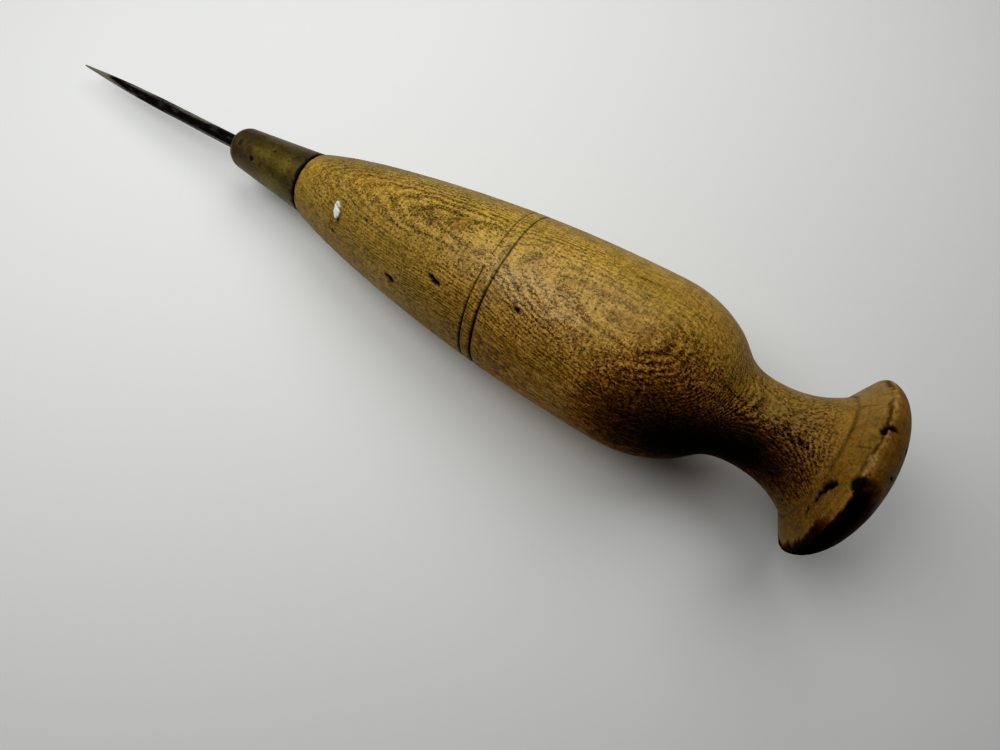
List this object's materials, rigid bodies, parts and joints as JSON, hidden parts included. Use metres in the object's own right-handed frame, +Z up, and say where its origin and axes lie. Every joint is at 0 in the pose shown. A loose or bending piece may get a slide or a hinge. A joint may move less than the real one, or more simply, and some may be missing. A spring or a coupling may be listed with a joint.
{
  "type": "awl",
  "caption": "Piercing awl: a tapered steel spike in a domed brass ferrule, on a turned wooden handle with a long swelling body, a narrow waist and a flared knob.",
  "frame": {"origin": "middle of the bounding box's underside: on the surface that the tool lies on, half way between the point and the butt", "axes": "+X along the tool from the spike's point to the butt, level with the surface it lies on, +Z up from that surface; the tool's own axis rises 5.2 degrees toward the butt"},
  "size_m": [0.1656, 0.0285, 0.0324],
  "materials": {
    "spike_steel": "old dark steel, worn bright near the point",
    "ferrule_brass": "aged, dull olive-brown patina",
    "handle_wood": "bare turned wood, worn and grimy, fine dark pores"
  },
  "bodies": {
    "root": {"blade": "spike_steel", "ferrule": "ferrule_brass", "handle": "handle_wood"}
  },
  "joints": []
}
